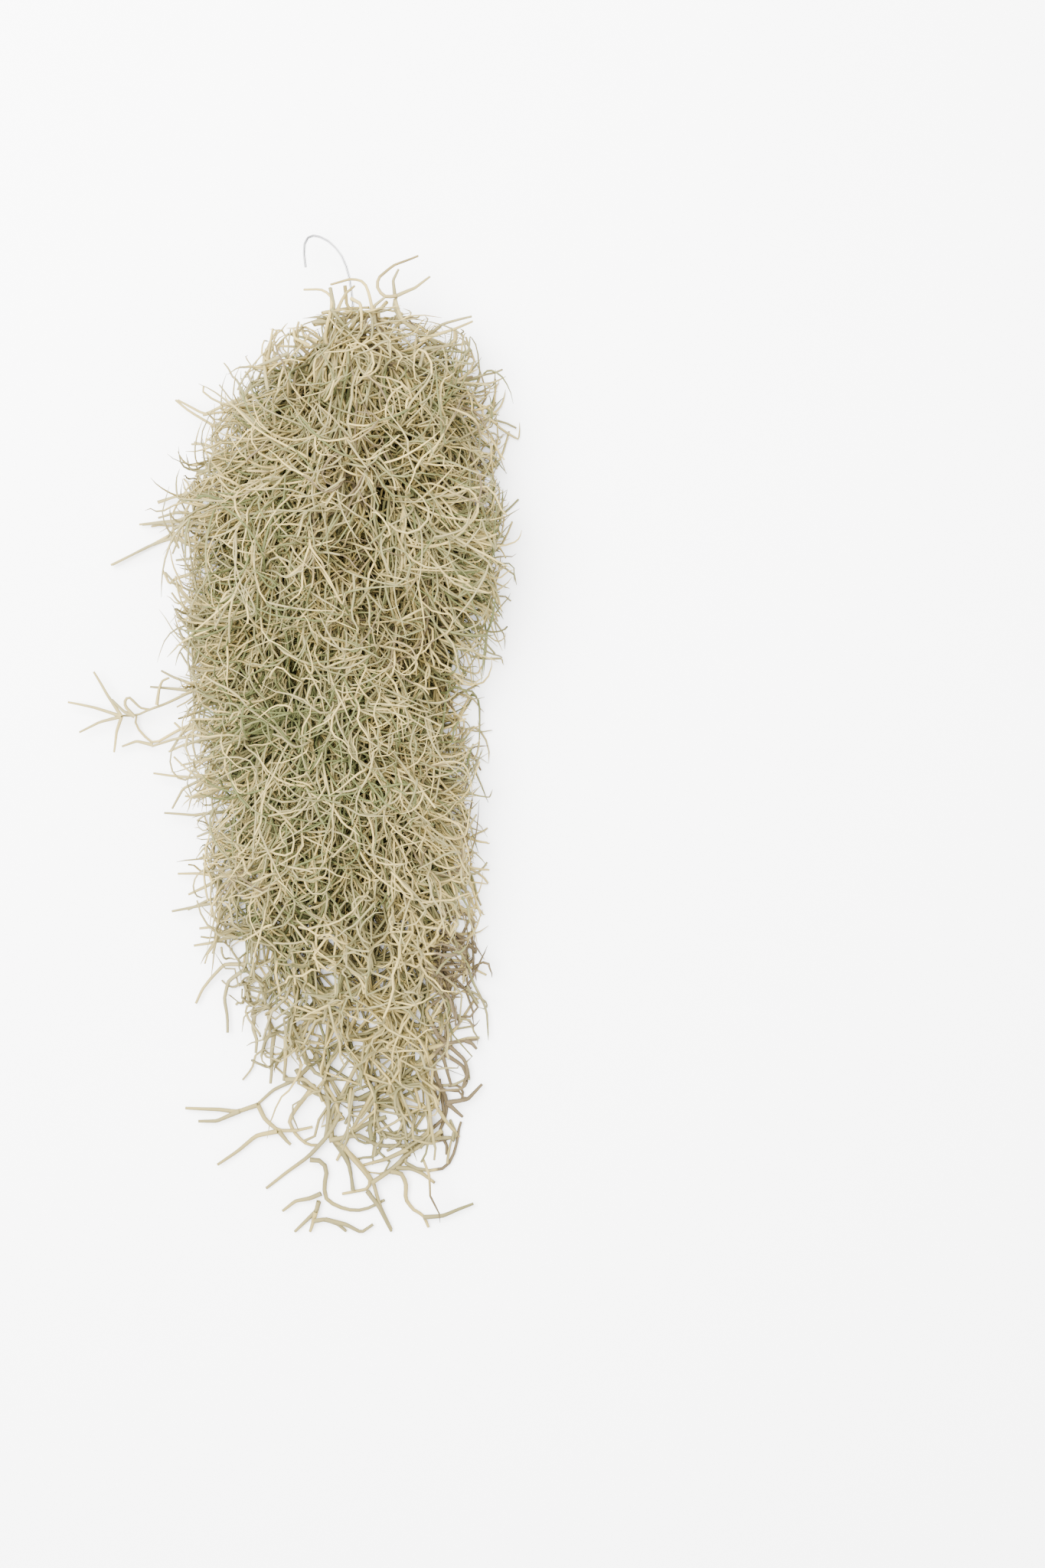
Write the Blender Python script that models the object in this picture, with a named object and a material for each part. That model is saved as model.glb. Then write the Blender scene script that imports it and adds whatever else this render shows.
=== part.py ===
"""A bunch of Spanish moss on its wire hook, laid down on a flat surface.

The bunch lies along Y with its hook at +Y and its trailing tips at -Y. Fifteen tresses
run through the wire's loop at the neck: three layers of five, which fan out below it.
The outer tresses first fold over the crown. Each tress is a twisted core that carries
curved leaves. The origin is on the surface, under the middle of the bunch.
"""

import math

import bmesh
import bpy
import numpy as np
from mathutils import Matrix, Vector

SEED = 29
MM = 0.001

# Places along the bunch are readings on a scale that starts at the lowest tips.
MIDDLE_READING = 0.38
NECK_READING = 0.652
NECK_HEIGHT = 0.040

# The mound seen from above: scale reading, left edge, right edge and height.
OUTLINE = (
    (0.00, -0.036, 0.036, 0.012),
    (0.06, -0.050, 0.050, 0.022),
    (0.12, -0.070, 0.058, 0.034),
    (0.20, -0.102, 0.062, 0.052),
    (0.30, -0.112, 0.070, 0.076),
    (0.40, -0.114, 0.076, 0.098),
    (0.50, -0.124, 0.100, 0.112),
    (0.58, -0.112, 0.104, 0.112),
    (0.63, -0.086, 0.096, 0.102),
    (0.67, -0.060, 0.076, 0.082),
    (0.70, -0.030, 0.040, 0.060),
)

# Each layer: height as a share of the mound, spread across it, and its tresses' tip readings.
LAYERS = {
    "under": (0.00, 0.84, (0.135, 0.055, 0.006, 0.028, 0.125)),
    "middle": (0.40, 0.88, (0.170, 0.090, 0.045, 0.075, 0.160)),
    "front": (0.78, 0.70, (0.235, 0.300, 0.200, 0.270, 0.215)),
}
LANES = {
    "under": (-1.0, -0.44, 0.285, 0.66, 1.0),
    "middle": (-1.0, -0.5, 0.0, 0.5, 1.0),
    "front": (-1.0, -0.5, 0.0, 0.5, 1.0),
}
SIDE_LANES = (0, 4)

NECK_PITCH = 4.5 * MM
NECK_CORE = 2.2 * MM
BODY_CORE = 9.0 * MM
TIP_CORE = 1.3 * MM
CORE_STEP = 0.028
CORE_SIDES = 6
CORE_TWIST = math.radians(26)
RIDGE_DEPTH = 0.74
WAVE = 0.006
GAP = 0.3 * MM

LEAF_COUNT = 400
LEAF_RADIUS = 0.95 * MM
LEAF_TIP_RADIUS = 0.45 * MM
LEAF_LENGTHS = (0.030, 0.058)
LEAF_SPANS = 3
FLOOR_CLEAR = 0.9 * MM

WIRE_RADIUS = 0.6 * MM
LOOP_WIDTH = 14.4 * MM
LOOP_DEPTH = 9.4 * MM
WIRE_HEIGHT = NECK_HEIGHT - LOOP_DEPTH
# The hook from its free end to the shank: across, and scale reading.
HOOK = (
    (-0.035, 0.741), (-0.036, 0.751), (-0.0355, 0.758), (-0.033, 0.7625), (-0.029, 0.764),
    (-0.024, 0.763), (-0.018, 0.760), (-0.0125, 0.755), (-0.008, 0.749), (-0.005, 0.742),
    (-0.0025, 0.733), (-0.001, 0.722), (0.0, 0.711), (0.0, 0.695), (0.0, 0.675),
)

# Sprigs that stand out of the mound: the tress that bears one, its height above the
# surface, its stem as across and scale reading, and its leaves as
# (stem point, across and reading of the tip, sideways bow as a share of the length).
SPRIGS = {
    "left_reach": (("middle", 0), 0.020,
        ((-0.114, 0.424), (-0.143, 0.413), (-0.155, 0.409), (-0.165, 0.404), (-0.175, 0.404)),
        ((4, -0.197, 0.437, 0.14), (4, -0.217, 0.414, 0.05), (4, -0.209, 0.391, -0.12),
         (4, -0.183, 0.376, 0.10), (3, -0.182, 0.417, 0.12), (1, -0.139, 0.433, -0.25))),
    "left_return": (("under", 0), 0.012,
        ((-0.114, 0.401), (-0.134, 0.392), (-0.153, 0.381), (-0.165, 0.392)),
        ((1, -0.146, 0.372, 0.05), (3, -0.176, 0.383, 0.15))),
    "left_spike": (("under", 0), 0.010,
        ((-0.113, 0.531), (-0.132, 0.541), (-0.153, 0.530)),
        ((2, -0.182, 0.516, 0.04), (1, -0.160, 0.546, -0.05), (0, -0.142, 0.512, -0.1))),
    "left_shoulder": (("middle", 0), 0.032,
        ((-0.090, 0.610), (-0.112, 0.622)),
        ((1, -0.147, 0.644, -0.08), (1, -0.140, 0.606, 0.12), (0, -0.128, 0.590, -0.08))),
    "left_low": (("under", 0), 0.008,
        ((-0.105, 0.280), (-0.122, 0.272)),
        ((1, -0.152, 0.286, 0.07), (1, -0.150, 0.250, -0.10), (0, -0.146, 0.236, 0.08))),
    "crown_left": (("front", 1), 0.056,
        ((-0.018, 0.694), (-0.015, 0.712)),
        ((1, -0.037, 0.722, 0.22), (1, -0.010, 0.735, -0.10), (0, -0.052, 0.704, 0.12))),
    "crown_right": (("front", 3), 0.054,
        ((0.022, 0.700), (0.028, 0.718), (0.036, 0.724)),
        ((2, 0.052, 0.750, -0.10), (2, 0.062, 0.737, 0.10), (1, 0.012, 0.727, -0.20))),
    "right_shoulder": (("middle", 4), 0.036,
        ((0.074, 0.668), (0.088, 0.676)),
        ((1, 0.106, 0.694, -0.06), (1, 0.122, 0.664, 0.08))),
    "right_low": (("under", 4), 0.008,
        ((0.062, 0.250), (0.070, 0.236)),
        ((1, 0.099, 0.243, -0.08), (1, 0.096, 0.205, 0.08), (0, 0.092, 0.270, 0.08))),
    "tip_left": (("under", 1), 0.005,
        ((-0.046, 0.118), (-0.068, 0.107), (-0.079, 0.101)),
        ((2, -0.112, 0.103, 0.06), (2, -0.106, 0.094, -0.08), (1, -0.096, 0.072, -0.08))),
    "tip_right": (("under", 3), 0.004,
        ((0.022, 0.052), (0.031, 0.048), (0.036, 0.028)),
        ((2, 0.074, 0.020, -0.10), (1, 0.058, 0.046, 0.10), (2, 0.046, 0.004, 0.05))),
    "tip_low": (("under", 2), 0.003,
        ((-0.004, 0.034), (-0.022, 0.018), (-0.030, 0.010)),
        ((2, -0.052, 0.000, 0.06), (1, -0.056, 0.022, 0.10), (2, -0.026, 0.000, -0.08))),
}


def along(reading):
    """Y of a reading on the scale."""
    return reading - MIDDLE_READING


def outline_at(y):
    """Left edge, right edge and height of the mound at y."""
    readings, left, right, height = zip(*OUTLINE)
    reading = np.clip(y + MIDDLE_READING, readings[0], readings[-1])
    return tuple(np.interp(reading, readings, side) for side in (left, right, height))


def resampled(points, step):
    """The same route with a point every step or so."""
    points = np.asarray(points, float)
    travelled = np.r_[0, np.cumsum(np.linalg.norm(np.diff(points, axis=0), axis=1))]
    count = max(3, round(travelled[-1] / step) + 1)
    stations = np.linspace(0, travelled[-1], count)
    return np.column_stack([np.interp(stations, travelled, points[:, k]) for k in range(3)])


def rounded(points, passes):
    """Corners cut by repeated averaging, with both ends kept."""
    points = resampled(points, 0.004)
    for _ in range(passes):
        points[1:-1] = (points[:-2] + 2 * points[1:-1] + points[2:]) / 4
    return points


def tress_route(layer, lane, rng):
    """Centreline of one tress, from its end at the neck to its tip."""
    share, spread, tips = LAYERS[layer]
    depth = list(LAYERS).index(layer) - 1
    slot = np.array([(lane - 2) * NECK_PITCH, 0, NECK_HEIGHT + depth * NECK_PITCH])
    neck_y = along(NECK_READING)
    folded = layer == "front" or lane in SIDE_LANES
    sideways = LANES[layer][lane]
    outward = np.array([0.030 * sideways, 0, 0.016 if layer == "front" else 0.006 * depth])
    if folded:
        route = [slot + (0, neck_y - 0.012, 0), slot + (0, neck_y + 0.022, 0),
                 slot + outward + (0, neck_y + 0.042, 0)]
        start = 0.637
    else:
        route = [slot + (0, neck_y + 0.024, 0), slot + (0, neck_y - 0.020, 0)]
        start = 0.580
    phase = rng.uniform(0, 2 * math.pi, 2)
    for reading in np.arange(start, tips[lane], -0.012):
        y = along(reading)
        left, right, height = outline_at(y)
        across = (left + right) / 2 + sideways * spread * (right - left) / 2
        dome = 1 - 0.45 * (sideways * spread) ** 2
        z = share * height * dome if share else 0
        sway = WAVE * min(1, (NECK_READING - reading) / 0.1)
        route.append(np.array([
            across + sway * math.sin(reading * 62 + phase[0]),
            y,
            z + (0.6 * sway * math.sin(reading * 55 + phase[1]) if share else 0),
        ]))
    return rounded(route, 9)


def wanted_radius(route):
    """Core radius along a route: slim at the neck, full in the body, thin at the tip."""
    reading = route[:, 1] + MIDDLE_READING
    below_neck = np.abs(NECK_READING - reading)
    body = np.interp(below_neck, (0.015, 0.09), (NECK_CORE, BODY_CORE))
    thinning = np.interp(reading, (0.02, 0.14, 0.34), (TIP_CORE * 1.4, 2.6 * MM, BODY_CORE))
    travelled = np.r_[0, np.cumsum(np.linalg.norm(np.diff(route, axis=0), axis=1))]
    to_tip = travelled[-1] - travelled
    ending = np.interp(to_tip, (0, 0.10), (TIP_CORE, BODY_CORE))
    return np.minimum.reduce([body, thinning, ending])


def segment_distances(starts, ends, others_a, others_b):
    """Least distance between each of one set of segments and each of another."""
    p, q = starts[:, None], others_a[None]
    u, v = (ends - starts)[:, None], (others_b - others_a)[None]
    w = p - q
    a, b, c = (u * u).sum(-1), (u * v).sum(-1), (v * v).sum(-1)
    d, e = (u * w).sum(-1), (v * w).sum(-1)
    spread = np.maximum(a * c - b * b, 1e-18)
    s = np.clip((b * e - c * d) / spread, 0, 1)
    t = np.clip((b * s + e) / np.maximum(c, 1e-18), 0, 1)
    s = np.clip((b * t - d) / np.maximum(a, 1e-18), 0, 1)
    return np.linalg.norm(w + s[..., None] * u - t[..., None] * v, axis=-1)


def laid_down(core, radius):
    """Heights of an under tress: on the surface, but for its rise to the neck."""
    rise = np.interp(core[:, 1], (along(0.50), along(0.62)), (0, 1))
    return np.maximum(core[:, 2] * rise, 0.78 * radius)


def room_round(points, starts, ends):
    """At each point of a route, the least distance from its spans to some segments."""
    apart = segment_distances(points[:-1], points[1:], starts, ends).min(1)
    return np.minimum(np.r_[apart, apart[-1]], np.r_[apart[0], apart])


class Space:
    """What is already placed, as thick segments with an owner, so that leaves keep clear."""

    def __init__(self):
        self.a = np.empty((0, 3))
        self.b = np.empty((0, 3))
        self.radius = np.empty(0)
        self.owner = np.empty(0, int)

    def add(self, points, radii, owner):
        self.a = np.vstack([self.a, points[:-1]])
        self.b = np.vstack([self.b, points[1:]])
        self.radius = np.r_[self.radius, np.maximum(radii[:-1], radii[1:])]
        self.owner = np.r_[self.owner, np.full(len(points) - 1, owner)]

    def is_clear(self, points, radii, owner):
        """True where a route stays a gap away from everything of another owner."""
        reach = radii.max() + self.radius.max() + GAP
        low, high = points.min(0) - reach, points.max(0) + reach
        near = (self.owner != owner) & (np.maximum(self.a, self.b) > low).all(1)
        near &= (np.minimum(self.a, self.b) < high).all(1)
        if not near.any():
            return True
        apart = segment_distances(points[:-1], points[1:], self.a[near], self.b[near])
        thick = np.maximum(radii[:-1], radii[1:])[:, None] + self.radius[near][None]
        return bool((apart > thick + GAP).all())


def frames_along(points, level=False):
    """A direction and two crosswise axes at each point, carried along without twist, or
    kept level with the surface."""
    tangents = np.gradient(points, axis=0)
    tangents /= np.linalg.norm(tangents, axis=1)[:, None]
    side = np.cross(tangents[0], (0, 0, 1))
    if np.linalg.norm(side) < 0.1:
        side = np.cross(tangents[0], (1, 0, 0))
    frames = []
    for tangent in tangents:
        side = np.cross(tangent, (0, 0, 1)) if level else side - tangent * (side @ tangent)
        side /= np.linalg.norm(side)
        frames.append((tangent, side, np.cross(tangent, side)))
    return frames


def tube(name, points, radii, sides, twist=0.0, ridge=1.0, floor=None, phase=0.0, pointed=False):
    """A closed tube through points. Every second corner is drawn in by ridge, and the
    turn grows by twist at each ring. Corners under the floor are moved up to it."""
    mesh = bmesh.new()
    rings = []
    frames = frames_along(points, floor is not None)
    for k, (point, radius, frame) in enumerate(zip(points, radii, frames)):
        _, side, up = frame
        drawn_in = np.interp(radius, (2.5 * MM, 5 * MM), (1, ridge))
        ring = []
        for corner in range(sides):
            angle = 2 * math.pi * corner / sides + phase + twist * k
            reach = radius * (drawn_in if corner % 2 else 1.0)
            place = point + reach * (math.cos(angle) * side + math.sin(angle) * up)
            if floor is not None:
                place[2] = max(place[2], floor)
            ring.append(mesh.verts.new(place))
        rings.append(ring)
    for low, high in zip(rings, rings[1:]):
        for k in range(sides):
            after = (k + 1) % sides
            mesh.faces.new((low[k], low[after], high[after]))
            mesh.faces.new((low[k], high[after], high[k]))
    mesh.faces.new(rings[0][::-1])
    if pointed:
        bmesh.ops.pointmerge(mesh, verts=rings[-1], merge_co=points[-1])
    else:
        mesh.faces.new(rings[-1])
    bmesh.ops.triangulate(mesh, faces=[f for f in mesh.faces if len(f.verts) > 3])
    bmesh.ops.recalc_face_normals(mesh, faces=mesh.faces)
    data = bpy.data.meshes.new(name)
    mesh.to_mesh(data)
    mesh.free()
    return bpy.data.objects.new(name, data)


def leaf_route(root, direction, turn_axis, turn, length):
    """Points of a curved leaf that starts at root along direction."""
    points = [np.array(root)]
    heading = Vector(direction).normalized()
    for _ in range(LEAF_SPANS):
        points.append(points[-1] + np.array(heading) * length / LEAF_SPANS)
        heading.rotate(Matrix.Rotation(turn / LEAF_SPANS, 3, Vector(turn_axis)))
    points = np.array(points)
    points[1:, 2] = np.maximum(points[1:, 2], FLOOR_CLEAR)
    return points


def leaf_radii(points):
    return np.linspace(LEAF_RADIUS, LEAF_TIP_RADIUS, len(points))


def bowed(start, end, bow, spans):
    """A leaf from start to end that bows sideways, seen from above."""
    start, end = np.asarray(start), np.asarray(end)
    away = end - start
    side = np.array([-away[1], away[0], 0.0])
    stations = np.linspace(0, 1, spans + 1)
    return np.array([start + s * away + 4 * bow * s * (1 - s) * side for s in stations])


def sprig_routes(core, height, stem, leaves):
    """The stem and leaves of one sprig, rooted on the nearest point of its tress's core."""
    places = np.array([(x, along(reading), height) for x, reading in stem])
    nearest = core[np.argmin(np.linalg.norm(core - places[0], axis=1))]
    routes = [np.vstack([nearest, places])]
    for joint, x, reading, bow in leaves:
        tip = (x, along(reading), max(0.6 * height, FLOOR_CLEAR))
        routes.append(bowed(places[joint], tip, bow, LEAF_SPANS))
    return routes


def in_mound(points, margin):
    """True where every point stays within the outline and a margin, and under its top."""
    left, right, height = outline_at(points[:, 1])
    inside = (points[:, 0] > left - margin) & (points[:, 0] < right + margin)
    inside &= points[:, 2] < height + margin
    ends = along(0.0) + 0.001, along(0.722)
    return bool((inside & (points[:, 1] > ends[0]) & (points[:, 1] < ends[1])).all())


def grown_leaf(core, core_radii, rng, space, owner):
    """One leaf that keeps clear of the other tresses, or None if none was found."""
    for _ in range(60):
        spot = rng.integers(1, len(core) - 1)
        root = core[spot]
        down = core[min(spot + 2, len(core) - 1)] - core[spot]
        down /= np.linalg.norm(down)
        left, right, height = outline_at(root[1])
        middle = np.array([(left + right) / 2, root[1], 0.35 * height])
        outward = root - middle
        outward[1] = 0
        away = rng.normal(size=3) + 0.9 * outward / (np.linalg.norm(outward) + 1e-6)
        away -= down * (away @ down)
        away /= np.linalg.norm(away)
        fork = math.radians(rng.uniform(22, 62))
        heading = math.cos(fork) * down + math.sin(fork) * away
        turn_axis = np.cross(heading, rng.normal(size=3))
        turn_axis /= np.linalg.norm(turn_axis)
        length = rng.uniform(*LEAF_LENGTHS)
        points = leaf_route(root, heading, turn_axis, rng.uniform(0.3, 1.6), length)
        points[0] = root
        free = points.copy()
        free[0] = root + (points[1] - root) * min(0.6, core_radii[spot] / (length / LEAF_SPANS))
        if np.linalg.norm(points[1] - root) < core_radii[spot] + 4 * MM:
            continue
        if in_mound(points, 0.014) and space.is_clear(free, leaf_radii(free), owner):
            return points
    return None


def joined(name, first, others):
    """One solid from a core and what grows on it, with loose scraps dropped."""
    group = bpy.data.collections.new(name + "_growth")
    bpy.context.scene.collection.children.link(group)
    for other in others:
        group.objects.link(other)
    bpy.context.scene.collection.objects.link(first)
    union = first.modifiers.new("growth", "BOOLEAN")
    union.operation = "UNION"
    union.operand_type = "COLLECTION"
    union.collection = group
    union.solver = "MANIFOLD"
    graph = bpy.context.evaluated_depsgraph_get()
    whole = bpy.data.meshes.new_from_object(first.evaluated_get(graph))
    first.modifiers.clear()
    first.data = whole
    first.name = name
    whole.name = name
    for other in list(group.objects):
        bpy.data.objects.remove(other)
    bpy.data.collections.remove(group)
    drop_scraps(whole)
    return first


def drop_scraps(data):
    """Keeps the largest body of a mesh, where faces that share an edge are one body."""
    mesh = bmesh.new()
    mesh.from_mesh(data)
    unseen, bodies = set(mesh.faces), []
    while unseen:
        queue = [unseen.pop()]
        body = list(queue)
        while queue:
            for edge in queue.pop().edges:
                for face in edge.link_faces:
                    if face in unseen:
                        unseen.remove(face)
                        body.append(face)
                        queue.append(face)
        bodies.append(body)
    bodies.sort(key=len)
    scraps = [face for body in bodies[:-1] for face in body]
    bmesh.ops.delete(mesh, geom=scraps, context="FACES")
    mesh.to_mesh(data)
    mesh.free()


def material(name, colour, roughness, metallic=0.0):
    made = bpy.data.materials.new(name)
    made.use_nodes = True
    shader = made.node_tree.nodes["Principled BSDF"]
    shader.inputs["Base Color"].default_value = (*colour, 1)
    shader.inputs["Roughness"].default_value = roughness
    shader.inputs["Metallic"].default_value = metallic
    return made


def wire_route():
    """The hook, its shank behind the crown, and one and a half turns round the neck."""
    route = [np.array([x, along(reading), WIRE_HEIGHT]) for x, reading in HOOK]
    turns = 1.4
    for k in range(1, 31):
        turned = k / 30
        angle = -math.pi / 2 + 2 * math.pi * turns * turned
        across, up = math.cos(angle), math.sin(angle)
        route.append(np.array([
            LOOP_WIDTH * math.copysign(math.sqrt(abs(across)), across),
            along(NECK_READING) + 0.004 - 0.010 * turned,
            NECK_HEIGHT + LOOP_DEPTH * math.copysign(math.sqrt(abs(up)), up),
        ]))
    return np.array(route)


def wire_hook(finish):
    """The wire as one round bar on a smooth curve."""
    route = wire_route()
    curve = bpy.data.curves.new("wire_hook", "CURVE")
    curve.dimensions = "3D"
    curve.bevel_depth = WIRE_RADIUS
    curve.bevel_resolution = 1
    curve.use_fill_caps = True
    line = curve.splines.new("POLY")
    line.points.add(len(route) - 1)
    for point, place in zip(line.points, route):
        point.co = (*place, 1)
    wire = bpy.data.objects.new("wire_hook", curve)
    wire.data.materials.append(finish)
    bpy.context.scene.collection.objects.link(wire)
    return route


def main():
    for old in list(bpy.data.objects):
        bpy.data.objects.remove(old)
    rng = np.random.default_rng(SEED)
    moss = material("moss_grey_green", (0.56, 0.52, 0.33), 0.85)
    steel = material("wire_grey", (0.24, 0.22, 0.22), 0.4, 0.9)

    names = [(layer, lane) for layer in LAYERS for lane in range(len(LANES[layer]))]
    routes = {key: tress_route(*key, rng) for key in names}
    space = Space()
    route = wire_hook(steel)
    space.add(route, np.full(len(route), WIRE_RADIUS), -1)

    cores, radii = {}, {}
    for key in names:
        core = resampled(routes[key], CORE_STEP)
        radius = wanted_radius(core)
        if key[0] == "under":
            core[:, 2] = laid_down(core, radius)
        cores[key], radii[key] = core, radius
    for key in names:
        others = [cores[other] for other in names if other != key]
        starts = np.vstack([other[:-1] for other in others])
        ends = np.vstack([other[1:] for other in others])
        half = room_round(cores[key], starts, ends) / 2 - GAP / 2
        to_wire = room_round(cores[key], route[:-1], route[1:]) - WIRE_RADIUS - GAP
        radii[key] = np.minimum.reduce([radii[key], half, to_wire])
        if key[0] == "under":
            cores[key][:, 2] = laid_down(cores[key], radii[key])
    for owner, key in enumerate(names):
        space.add(cores[key], radii[key], owner)

    growth = {key: [] for key in names}
    for bearer, height, stem, leaves in SPRIGS.values():
        owner = names.index(bearer)
        for k, points in enumerate(sprig_routes(cores[bearer], height, stem, leaves)):
            growth[bearer].append((points, k == 0))
            space.add(points, leaf_radii(points), owner)
    lengths = np.array([len(cores[key]) for key in names], float)
    shares = np.round(LEAF_COUNT * lengths / lengths.sum()).astype(int)
    for owner, key in enumerate(names):
        for _ in range(shares[owner]):
            points = grown_leaf(cores[key], radii[key], rng, space, owner)
            if points is not None:
                growth[key].append((points, False))
                space.add(points, leaf_radii(points), owner)

    for key in names:
        name = f"{key[0]}_tress_{key[1] + 1}"
        shape = (0.0, 0.94, 0.0) if key[0] == "under" else (CORE_TWIST, RIDGE_DEPTH, None)
        core = tube(name, cores[key], radii[key], CORE_SIDES, *shape)
        leaves = []
        for points, is_stem in growth[key]:
            stout = np.full(len(points), LEAF_RADIUS) if is_stem else leaf_radii(points)
            leaves.append(tube("growth", points, stout, 3, pointed=not is_stem))
        tress = joined(name, core, leaves)
        tress.data.materials.clear()
        tress.data.materials.append(moss)
    print("leaves", sum(len(g) for g in growth.values()))


main()
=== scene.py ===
# %% [markdown]
# # Spanish moss bunch
# A bunch of Spanish moss is a few hundred thin plants that hang in a tangle. Each plant is
# a wiry stem, and at every joint it bears a few thread-like leaves that curl. Here the
# bunch lies on its back, with the hook at +Y and the trailing tips at -Y.
#
# It could be made with a hair system, but hair isn't a mesh and wouldn't be kept. So each
# stem and each leaf is a thin tapered tube, and numpy makes thousands of them at once.

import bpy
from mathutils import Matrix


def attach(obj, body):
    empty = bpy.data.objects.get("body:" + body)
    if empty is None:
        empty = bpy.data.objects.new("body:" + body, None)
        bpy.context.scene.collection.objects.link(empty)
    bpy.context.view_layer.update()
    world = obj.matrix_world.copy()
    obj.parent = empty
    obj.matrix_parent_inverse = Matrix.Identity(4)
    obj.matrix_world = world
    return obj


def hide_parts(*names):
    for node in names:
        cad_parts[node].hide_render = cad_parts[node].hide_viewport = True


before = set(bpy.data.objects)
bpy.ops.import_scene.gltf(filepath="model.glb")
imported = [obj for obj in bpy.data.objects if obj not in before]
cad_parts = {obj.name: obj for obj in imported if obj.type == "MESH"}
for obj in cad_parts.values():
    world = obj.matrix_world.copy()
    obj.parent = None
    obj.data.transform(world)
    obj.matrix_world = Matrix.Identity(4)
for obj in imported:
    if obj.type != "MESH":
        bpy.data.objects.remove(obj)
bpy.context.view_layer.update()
print("solids:", sorted(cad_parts))

# %% [markdown]
# ## Camera
# Known lengths in the photo give its camera: a 50 mm lens about 1.6 m away, tilted
# 7.4 degrees along the bunch. The bunch is laid down here, so the same camera looks down
# on it from above. It is made first, because it settles how fine the leaves must be.

# %% Camera over the bunch
import math

import bpy
import numpy as np

CAMERA_PLACE = (0.126, 0.1876, 1.6835)
CAMERA_TILT = math.radians(-7.358)


def placed(name, data):
    """A new object with that data, linked to the scene."""
    made = bpy.data.objects.new(name, data)
    bpy.context.scene.collection.objects.link(made)
    return made


camera_data = bpy.data.cameras.new("photo_camera")
camera_data.lens = 50
camera_data.sensor_fit = "VERTICAL"
camera_data.sensor_height = 36
camera_data.sensor_width = 24
camera = placed("photo_camera", camera_data)
camera.location = CAMERA_PLACE
camera.rotation_euler = (CAMERA_TILT, 0, 0)
bpy.context.scene.camera = camera
print("camera at", tuple(camera.location))

# %% [markdown]
# ## Shape of the mound
# Seen from above, the bunch is a long drop: narrow at the neck, widest a hand's width
# below it, and thinning out to single sprigs at the tips. A table of cross-sections says
# how far it reaches to each side and how high it lies. A place along the bunch is its
# reading, in metres from the lowest tips.

# %% Table of cross-sections
MIDDLE_READING = 0.38
NECK = np.array([0.0, 0.272, 0.040])
OUTLINE = np.array([
    # reading, left, right, height
    (0.00, -0.045, 0.050, 0.010),
    (0.06, -0.064, 0.062, 0.018),
    (0.12, -0.062, 0.068, 0.030),
    (0.16, -0.073, 0.071, 0.040),
    (0.20, -0.087, 0.073, 0.050),
    (0.24, -0.099, 0.074, 0.060),
    (0.30, -0.107, 0.072, 0.074),
    (0.40, -0.113, 0.076, 0.096),
    (0.50, -0.116, 0.092, 0.108),
    (0.56, -0.118, 0.098, 0.108),
    (0.62, -0.091, 0.096, 0.100),
    (0.66, -0.068, 0.090, 0.086),
    (0.70, -0.038, 0.070, 0.066),
])


def mound_at(reading):
    """Left edge, right edge and height of the mound at some readings."""
    return [np.interp(reading, OUTLINE[:, 0], OUTLINE[:, k]) for k in (1, 2, 3)]


def reading_of(points):
    """Reading of each point, from its place along Y."""
    return points[..., 1] + MIDDLE_READING


print("mound is", OUTLINE[:, 3].max(), "m high")

# %% [markdown]
# ## Tresses
# Strands that lie together make a tress, and the solids have fifteen of them: three
# layers of five. A tress has a lane across the mound, a share of its height, and a place
# where its longest strand ends. The strands made here keep to those, so that each
# tress's strands can stand for one solid.

# %% Where each tress lies and ends
LAYERS = {
    # name: (share of the height, lanes across, readings where the longest strands end)
    "under": (0.10, (-0.84, -0.37, 0.24, 0.55, 0.84), (0.110, 0.065, 0.035, 0.045, 0.100)),
    "middle": (0.42, (-0.88, -0.44, 0.0, 0.44, 0.88), (0.130, 0.085, 0.050, 0.070, 0.125)),
    "front": (0.80, (-0.70, -0.35, 0.0, 0.35, 0.70), (0.200, 0.250, 0.170, 0.230, 0.185)),
}
TRESSES = [f"{layer}_tress_{lane + 1}" for layer in LAYERS for lane in range(5)]
TRESS_PLACES = np.array([
    (lane, share, end)
    for share, lanes, ends in LAYERS.values()
    for lane, end in zip(lanes, ends)
])
print("tresses:", len(TRESSES))

# %% [markdown]
# ## Tubes
# Everything in the bunch is a thin tapered tube along a curve. Blender's curve objects
# could do it one at a time, but ten thousand of them are slow. This helper takes many
# centrelines with the same number of points, carries a small ring of corners along each,
# and joins them all in one mesh.

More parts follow.
